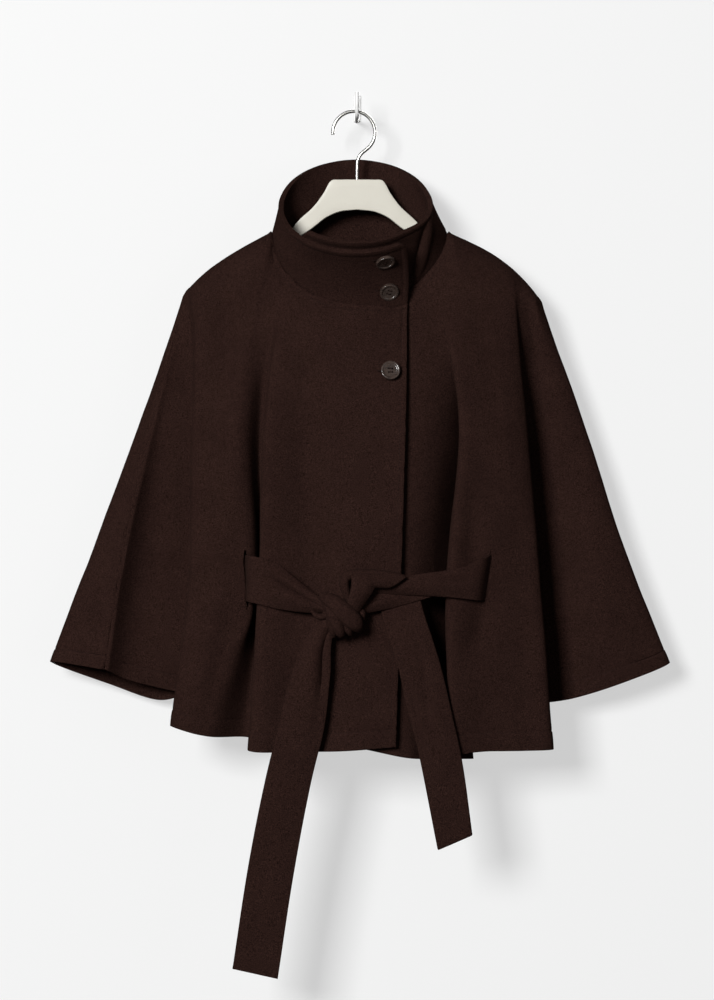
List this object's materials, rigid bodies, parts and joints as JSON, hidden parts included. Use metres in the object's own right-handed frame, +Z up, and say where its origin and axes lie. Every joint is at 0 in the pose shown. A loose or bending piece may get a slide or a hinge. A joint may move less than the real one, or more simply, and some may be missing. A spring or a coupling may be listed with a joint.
{
  "type": "belted cape jacket on a hanger and wall hook",
  "caption": "Hip-length cape jacket of thick wool with a tall wrapped collar, wide grown-on sleeves, an overlapped buttoned front and a knotted belt, hung on a hanger from a wall hook.",
  "frame": {"origin": "middle of the wall plate's back face, where the hook meets the wall", "axes": "+Z up, +Y into the wall, +X to the viewer's right as seen from the front"},
  "size_m": [0.7136, 0.1699, 1.0201],
  "materials": {
    "wool": "matte, soft brushed nap",
    "horn": "glossy, dark brown",
    "lacquer": "satin cream",
    "wire": "plated wire",
    "enamel": "white enamel"
  },
  "bodies": {
    "root": {"front_right": "wool", "front_left": "wool", "back": "wool", "collar": "wool", "belt_right_run": "wool", "belt_left_run": "wool", "belt_loop": "wool", "belt_knot": "wool", "belt_tail_long": "wool", "belt_tail_short": "wool", "belt_inside": "wool", "button_collar_upper": "horn", "button_collar_lower": "horn", "button_front": "horn", "hanger": "lacquer", "hanger_hook": "wire", "wall_hook": "enamel"}
  },
  "joints": []
}
